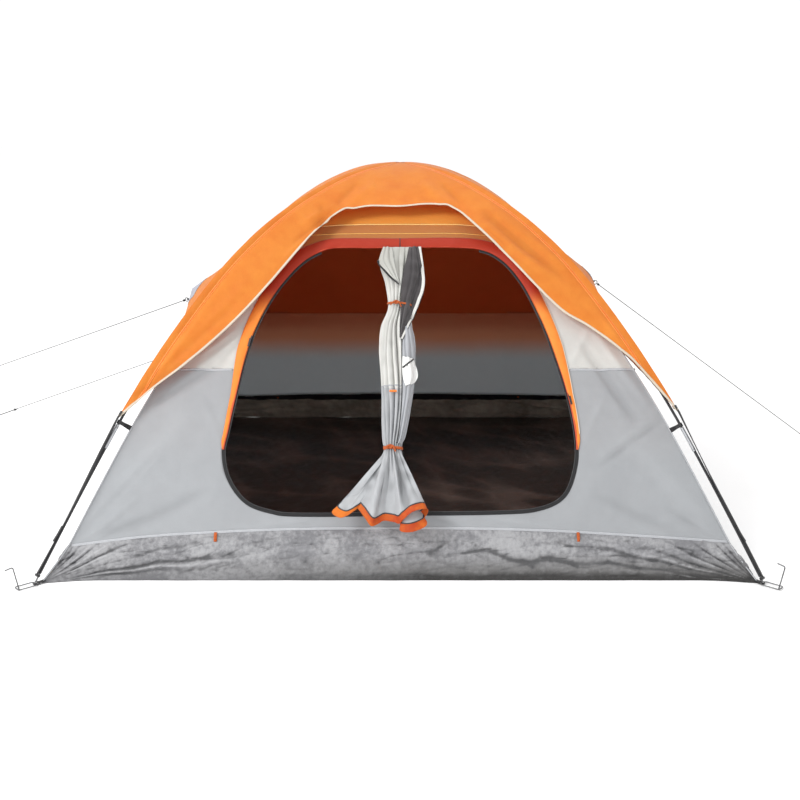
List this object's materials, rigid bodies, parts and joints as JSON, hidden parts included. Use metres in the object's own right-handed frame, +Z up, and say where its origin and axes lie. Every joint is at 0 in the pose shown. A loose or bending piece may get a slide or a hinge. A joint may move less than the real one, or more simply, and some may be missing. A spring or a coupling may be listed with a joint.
{
  "type": "dome tent",
  "caption": "Dome tent with crossed poles, clipped inner tent with a large arched door tied open, orange rain fly, guy lines and wire stakes.",
  "frame": {"origin": "middle of the floor, on the ground plane under the floor sheet", "axes": "+X to the right of someone facing the door, +Y from the door to the rear wall, +Z up"},
  "size_m": [4.7947, 2.3428, 1.4874],
  "materials": {
    "fibreglass_pole": "gloss",
    "ferrule": "satin",
    "elastic_cord": "matte",
    "steel_wire": "satin",
    "webbing": "matte",
    "floor_cloth": "matte",
    "tub_cloth": "satin",
    "wall_cloth": "matte",
    "upper_cloth": "matte",
    "fly_cloth": "satin",
    "binding": "matte",
    "flap_cloth": "satin",
    "zipper_tape": "matte",
    "slider_metal": "satin",
    "door_cloth": "matte",
    "orange_webbing": "matte",
    "orange_plastic": "matte",
    "black_plastic": "matte",
    "patch_cloth": "matte",
    "guy_cord": "matte"
  },
  "bodies": {
    "tent": {"apex_tie": "webbing", "clip_tabs": "webbing", "corner_pins": "steel_wire", "corner_rings": "steel_wire", "corner_webbing": "webbing", "door_zipper": "zipper_tape", "floor_sheet": "floor_cloth", "fly_binding": "binding", "fly_front": "fly_cloth", "fly_hooks": "black_plastic", "fly_left": "fly_cloth", "fly_rear": "fly_cloth", "fly_right": "fly_cloth", "fly_straps": "webbing", "guy_knots": "guy_cord", "guy_line_left": "guy_cord", "guy_line_rear_left": "guy_cord", "guy_line_right": "guy_cord", "guy_loops": "black_plastic", "guy_patches": "patch_cloth", "peg_loops": "orange_webbing", "pole_a_section_1": "fibreglass_pole", "pole_a_section_2": "fibreglass_pole", "pole_a_section_3": "fibreglass_pole", "pole_a_section_4": "fibreglass_pole", "pole_a_section_5": "fibreglass_pole", "pole_a_section_6": "fibreglass_pole", "pole_a_section_7": "fibreglass_pole", "pole_b_section_1": "fibreglass_pole", "pole_b_section_2": "fibreglass_pole", "pole_b_section_3": "fibreglass_pole", "pole_b_section_4": "fibreglass_pole", "pole_b_section_5": "fibreglass_pole", "pole_b_section_6": "fibreglass_pole", "pole_b_section_7": "fibreglass_pole", "pole_clips": "black_plastic", "pole_ferrules": "ferrule", "shock_cords": "elastic_cord", "storm_flap": "flap_cloth", "tub_walls": "tub_cloth", "upper_walls": "upper_cloth", "wall_front": "wall_cloth", "wall_left": "wall_cloth", "wall_rear": "wall_cloth", "wall_right": "wall_cloth"},
    "door": {"door_roll": "door_cloth", "door_ties": "orange_webbing", "door_toggle": "orange_plastic"},
    "zipper_slider_left": {"zipper_slider_left": "slider_metal"},
    "zipper_slider_right": {"zipper_slider_right": "slider_metal"},
    "corner_stake_front_left": {"corner_stake_front_left": "steel_wire"},
    "corner_stake_front_right": {"corner_stake_front_right": "steel_wire"},
    "corner_stake_rear_right": {"corner_stake_rear_right": "steel_wire"},
    "corner_stake_rear_left": {"corner_stake_rear_left": "steel_wire"},
    "guy_stake_left": {"guy_stake_left": "steel_wire"},
    "guy_runner_left": {"guy_runner_left": "black_plastic"},
    "guy_stake_rear_left": {"guy_stake_rear_left": "steel_wire"},
    "guy_runner_rear_left": {"guy_runner_rear_left": "black_plastic"},
    "guy_stake_right": {"guy_stake_right": "steel_wire"},
    "guy_runner_right": {"guy_runner_right": "black_plastic"}
  },
  "joints": [
    {"name": "door_lift", "type": "hinge", "parent": "tent", "child": "door", "pos_m": [0, -0.44933, 1.096], "axis": [-1, 0, 0], "range_deg": [0, 60]},
    {"name": "zipper_left_slide", "type": "slide", "parent": "tent", "child": "zipper_slider_left", "axis": [0.2022, 0.5145, 0.8333], "range_m": [-0.07, 0.07]},
    {"name": "zipper_right_slide", "type": "slide", "parent": "tent", "child": "zipper_slider_right", "axis": [-0.2097, 0.4574, 0.8642], "range_m": [-0.07, 0.07]},
    {"name": "corner_stake_front_left_pull", "type": "slide", "parent": "tent", "child": "corner_stake_front_left", "axis": [-0.1308, -0.1142, 0.9848], "range_m": [0, 0.2]},
    {"name": "corner_stake_front_right_pull", "type": "slide", "parent": "tent", "child": "corner_stake_front_right", "axis": [0.1308, -0.1142, 0.9848], "range_m": [0, 0.2]},
    {"name": "corner_stake_rear_right_pull", "type": "slide", "parent": "tent", "child": "corner_stake_rear_right", "axis": [0.1308, 0.1142, 0.9848], "range_m": [0, 0.2]},
    {"name": "corner_stake_rear_left_pull", "type": "slide", "parent": "tent", "child": "corner_stake_rear_left", "axis": [-0.1308, 0.1142, 0.9848], "range_m": [0, 0.2]},
    {"name": "guy_stake_left_pull", "type": "slide", "parent": "tent", "child": "guy_stake_left", "axis": [-0.2207, 0.1352, 0.9659], "range_m": [0, 0.2]},
    {"name": "guy_runner_left_slide", "type": "slide", "parent": "tent", "child": "guy_runner_left", "axis": [-0.8054, 0.4933, -0.3287], "range_m": [0, 0.12]},
    {"name": "guy_stake_rear_left_pull", "type": "slide", "parent": "tent", "child": "guy_stake_rear_left", "axis": [-0.2553, -0.0424, 0.9659], "range_m": [0, 0.2]},
    {"name": "guy_runner_rear_left_slide", "type": "slide", "parent": "tent", "child": "guy_runner_rear_left", "axis": [-0.938, -0.1556, -0.3097], "range_m": [0, 0.12]},
    {"name": "guy_stake_right_pull", "type": "slide", "parent": "tent", "child": "guy_stake_right", "axis": [0.2567, 0.0332, 0.9659], "range_m": [0, 0.2]},
    {"name": "guy_runner_right_slide", "type": "slide", "parent": "tent", "child": "guy_runner_right", "axis": [0.8067, 0.1044, -0.5817], "range_m": [0, 0.12]}
  ]
}
